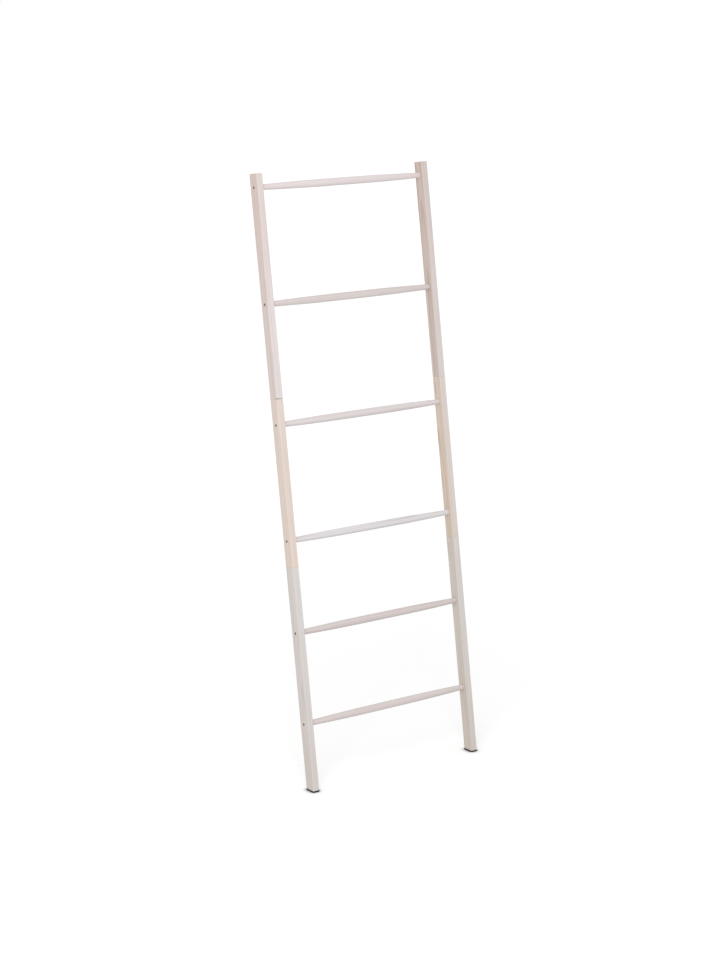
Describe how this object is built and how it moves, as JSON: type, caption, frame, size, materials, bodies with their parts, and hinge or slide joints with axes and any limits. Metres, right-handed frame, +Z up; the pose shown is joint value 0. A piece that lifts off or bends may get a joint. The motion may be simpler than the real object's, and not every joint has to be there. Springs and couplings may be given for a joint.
{
  "type": "towel ladder",
  "caption": "Wooden towel ladder that leans on a wall: straight stiles in bolted lengths, turned rungs that thin to their ends, sunk screws and rubber feet.",
  "frame": {"origin": "on the floor, under the middle of the whole ladder's box", "axes": "+X along the rungs to the right as seen from the front, +Y to the wall that the ladder leans on, +Z up"},
  "size_m": [0.582, 0.2914, 1.6896],
  "materials": {
    "upper_bar_wood": "whitewashed softwood, matt, pinkish",
    "middle_bar_wood": "whitewashed softwood, matt, peach",
    "lower_bar_wood": "whitewashed softwood, matt, greyish",
    "rung_wood": "whitewashed turned wood, matt",
    "screw_steel": "dark plated steel",
    "stud_steel": "zinc plated steel",
    "insert_brass": "plain brass",
    "foot_rubber": "matt dark rubber"
  },
  "bodies": {
    "root": {"left_stile_lower": "lower_bar_wood", "left_stile_middle": "middle_bar_wood", "left_stile_upper": "upper_bar_wood", "left_rubber_foot": "foot_rubber", "left_joint_studs": "stud_steel", "left_joint_inserts": "insert_brass", "right_stile_lower": "lower_bar_wood", "right_stile_middle": "middle_bar_wood", "right_stile_upper": "upper_bar_wood", "right_rubber_foot": "foot_rubber", "right_joint_studs": "stud_steel", "right_joint_inserts": "insert_brass", "rung_1": "rung_wood", "rung_1_screws": "screw_steel", "rung_2": "rung_wood", "rung_2_screws": "screw_steel", "rung_3": "rung_wood", "rung_3_screws": "screw_steel", "rung_4": "rung_wood", "rung_4_screws": "screw_steel", "rung_5": "rung_wood", "rung_5_screws": "screw_steel", "rung_6": "rung_wood", "rung_6_screws": "screw_steel"}
  },
  "joints": []
}
